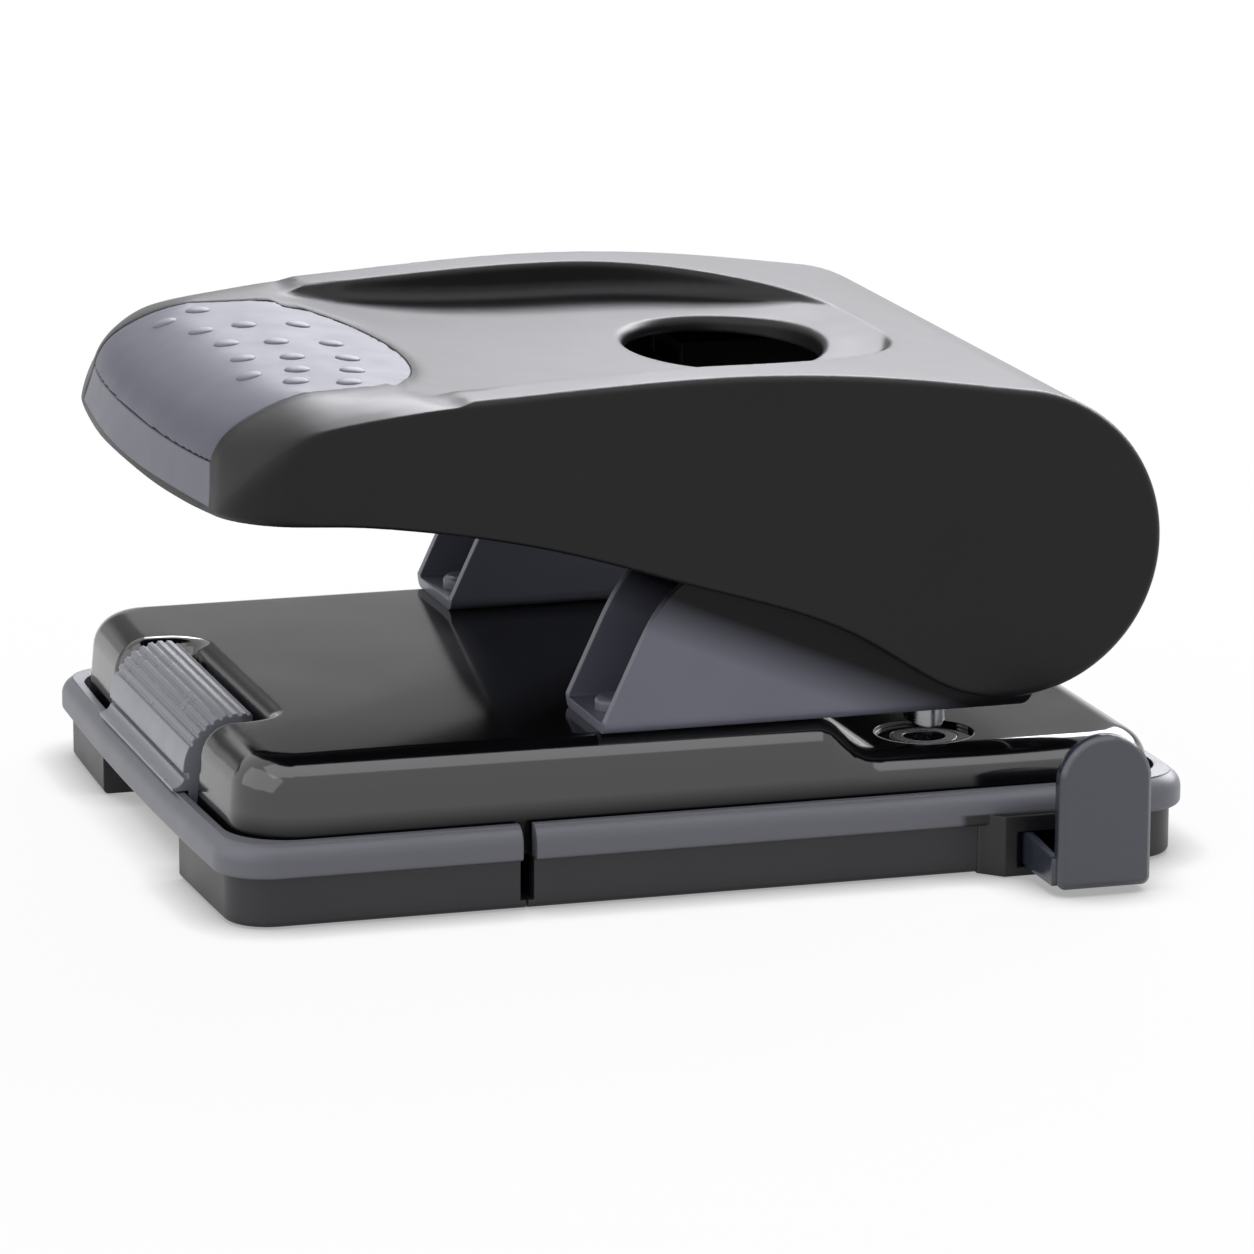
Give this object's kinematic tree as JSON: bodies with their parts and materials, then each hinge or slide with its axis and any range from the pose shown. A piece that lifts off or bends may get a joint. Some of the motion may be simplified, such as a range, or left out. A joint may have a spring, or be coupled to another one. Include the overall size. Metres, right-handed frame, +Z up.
{
  "type": "hole punch",
  "caption": "Desk hole punch: broad moulded lever handle with a soft grip, pressing sprung punches through a painted steel base over a hinged chip tray with a pull-out paper guide.",
  "frame": {"origin": "on the table, under the middle of the line between the two punches", "axes": "+X towards the side where the paper guide pulls out, +Y towards the rear where the paper goes in, +Z up; the handle's nose points to -Y"},
  "size_m": [0.1256, 0.1444, 0.0735],
  "materials": {
    "cover_paint": "gloss black enamel on pressed steel",
    "bracket_paint": "semi-gloss dark grey enamel",
    "handle_plastic": "satin moulded black",
    "grip_soft": "soft-touch matt blue-grey",
    "tray_plastic": "satin flexible moulding",
    "latch_plastic": "satin, ribbed",
    "guide_plastic": "satin grey",
    "pin_steel": "ground",
    "rivet_steel": "zinc plated",
    "spring_steel": "drawn wire and strip"
  },
  "bodies": {
    "base": {"base_cover": "cover_paint", "tray_rear": "tray_plastic", "guide_detent": "spring_steel", "bracket_left": "bracket_paint", "bracket_right": "bracket_paint", "bracket_rivets_left": "bracket_paint", "bracket_rivets_right": "bracket_paint", "pivot_pin_left": "pin_steel", "pivot_pin_right": "pin_steel", "pin_bush_left": "pin_steel", "pin_bush_right": "pin_steel", "spring_washer_left": "rivet_steel", "spring_washer_right": "rivet_steel", "pin_spring_left": "spring_steel", "pin_spring_right": "spring_steel", "die_left": "pin_steel", "die_right": "pin_steel"},
    "handle": {"handle_shell": "handle_plastic", "grip_pad": "grip_soft", "nose_band": "grip_soft", "lever_screws": "pin_steel", "press_lever_left": "bracket_paint", "press_lever_right": "bracket_paint", "press_roller_left": "pin_steel", "press_roller_right": "pin_steel"},
    "punch_left": {"punch_pin_left": "pin_steel", "pin_collar_left": "pin_steel"},
    "punch_right": {"punch_pin_right": "pin_steel", "pin_collar_right": "pin_steel"},
    "guide": {"paper_guide": "guide_plastic"},
    "flap": {"tray_front": "tray_plastic", "latch_pin": "pin_steel"},
    "latch": {"tray_latch": "latch_plastic"}
  },
  "joints": [
    {"name": "handle_press", "type": "hinge", "parent": "base", "child": "handle", "pos_m": [0, 0.024, 0.046], "axis": [1, 0, 0], "range_deg": [0, 14.5], "stiffness_Nm_per_rad": 2.2, "springref_deg": -16.04},
    {"name": "punch_left_slide", "type": "slide", "parent": "base", "child": "punch_left", "axis": [0, 0, -1], "range_m": [0, 0.0061], "deforming": ["pin_spring_left"]},
    {"name": "punch_right_slide", "type": "slide", "parent": "base", "child": "punch_right", "axis": [0, 0, -1], "range_m": [0, 0.0061], "deforming": ["pin_spring_right"]},
    {"name": "guide_slide", "type": "slide", "parent": "base", "child": "guide", "axis": [1, 0, 0], "range_m": [-0.0095, 0.045]},
    {"name": "tray_flap", "type": "hinge", "parent": "base", "child": "flap", "pos_m": [0, -0.0635, 0], "axis": [1, 0, 0], "range_deg": [0, 58]},
    {"name": "tray_latch", "type": "hinge", "parent": "flap", "child": "latch", "pos_m": [0, -0.0997, 0.01], "axis": [-1, 0, 0], "range_deg": [0, 8], "stiffness_Nm_per_rad": 0.3, "springref_deg": -5.73}
  ],
  "couplings": [
    {"joint": "punch_left_slide", "follows": "handle_press", "m_per_rad": 0.0241},
    {"joint": "punch_right_slide", "follows": "handle_press", "m_per_rad": 0.0241}
  ]
}
